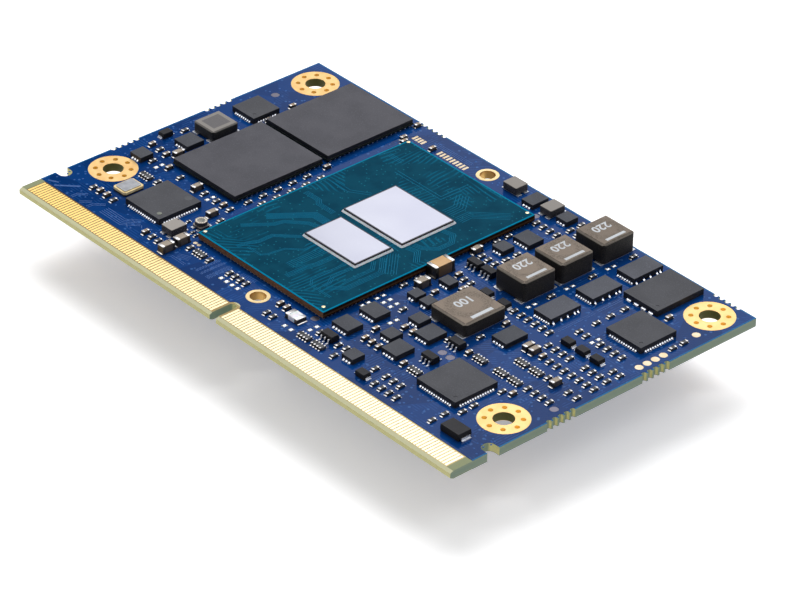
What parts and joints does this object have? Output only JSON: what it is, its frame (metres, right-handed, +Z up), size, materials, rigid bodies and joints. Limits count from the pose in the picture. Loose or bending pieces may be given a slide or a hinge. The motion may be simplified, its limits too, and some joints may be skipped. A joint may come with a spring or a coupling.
{
  "type": "system on module",
  "caption": "Blue edge-connector computer module with a bare-die processor, flat memory packages, power coils and gold contacts along one keyed edge.",
  "frame": {"origin": "under the middle of the board, on the plane that the underside packages rest on", "axes": "+X along the contact edge, +Y from the contact edge to the back edge, +Z up through the board to its processor side"},
  "size_m": [0.082, 0.05, 0.0052],
  "materials": {
    "laminate": "glass-fibre laminate, satin sawn edge",
    "solder_mask": "deep blue solder mask over copper traces",
    "contact_gold": "gold plating over copper and nickel, bright",
    "pad_gold": "immersion gold, soft shine",
    "sleeve_gold": "gold-plated barrel",
    "package_substrate": "teal solder mask over fine traces, brown sawn sides",
    "die_silicon": "polished silicon, mirror-like, dark sawn sides",
    "underfill_resin": "pale resin bead",
    "dark_substrate": "near-black package substrate",
    "memory_mould": "charcoal moulding compound, fine speckle",
    "controller_mould": "dark grey moulding compound",
    "stage_mould": "grey sawn moulding compound",
    "black_mould": "black moulding compound",
    "coil_ferrite": "pressed iron powder, taupe worn top, charcoal sides",
    "grey_ferrite": "grey ferrite",
    "crystal_ceramic": "gold-rimmed ceramic base",
    "lid_metal": "plated lid, satin",
    "lamp_resin": "white lamp resin",
    "capacitor_ceramic": "fired dielectric, tan brown",
    "tan_ceramic": "fired dielectric, light tan",
    "resistor_glaze": "black glaze over white ceramic",
    "tin_end": "matte tin over nickel, bright fillets",
    "tin_solder": "reflowed solder",
    "lead_metal": "tin-plated copper"
  },
  "bodies": {
    "root": {"board_laminate": "laminate", "mask_film_top": "solder_mask", "mask_film_under": "solder_mask", "contacts_top": "contact_gold", "contacts_under": "contact_gold", "mounting_rings": "pad_gold", "plated_sleeves": "sleeve_gold", "test_points": "pad_gold", "bare_lands": "tin_solder", "processor_carrier": "package_substrate", "processor_balls": "tin_solder", "die_large": "die_silicon", "die_small": "die_silicon", "die_underfill": "underfill_resin", "memory_top_carriers": "dark_substrate", "memory_top_mouldings": "memory_mould", "memory_top_balls": "tin_solder", "memory_under_carriers": "dark_substrate", "memory_under_mouldings": "memory_mould", "memory_under_balls": "tin_solder", "storage_carrier": "dark_substrate", "storage_moulding": "memory_mould", "storage_balls": "tin_solder", "controller_left": "controller_mould", "controller_left_toes": "tin_solder", "controller_right": "controller_mould", "controller_right_toes": "tin_solder", "codec": "controller_mould", "codec_toes": "tin_solder", "bridge": "controller_mould", "bridge_toes": "tin_solder", "boot_flash": "controller_mould", "boot_flash_toes": "tin_solder", "power_stages": "stage_mould", "power_stage_toes": "tin_solder", "small_packages": "stage_mould", "small_package_toes": "tin_solder", "six_lead_packages": "black_mould", "six_lead_legs": "lead_metal", "power_coils": "coil_ferrite", "power_coil_terminals": "lead_metal", "flat_coil": "coil_ferrite", "flat_coil_terminals": "lead_metal", "side_coil": "grey_ferrite", "side_coil_terminals": "lead_metal", "small_coils": "grey_ferrite", "small_coil_terminals": "lead_metal", "crystal_base": "crystal_ceramic", "crystal_lid": "lid_metal", "lamp_body": "lamp_resin", "lamp_ends": "tin_end", "capacitor_blocks": "capacitor_ceramic", "capacitor_ends": "tin_end", "large_capacitor_blocks": "tan_ceramic", "large_capacitor_ends": "tin_end", "resistor_blocks": "resistor_glaze", "resistor_ends": "tin_end", "diode_bodies": "black_mould", "diode_terminals": "lead_metal"}
  },
  "joints": []
}
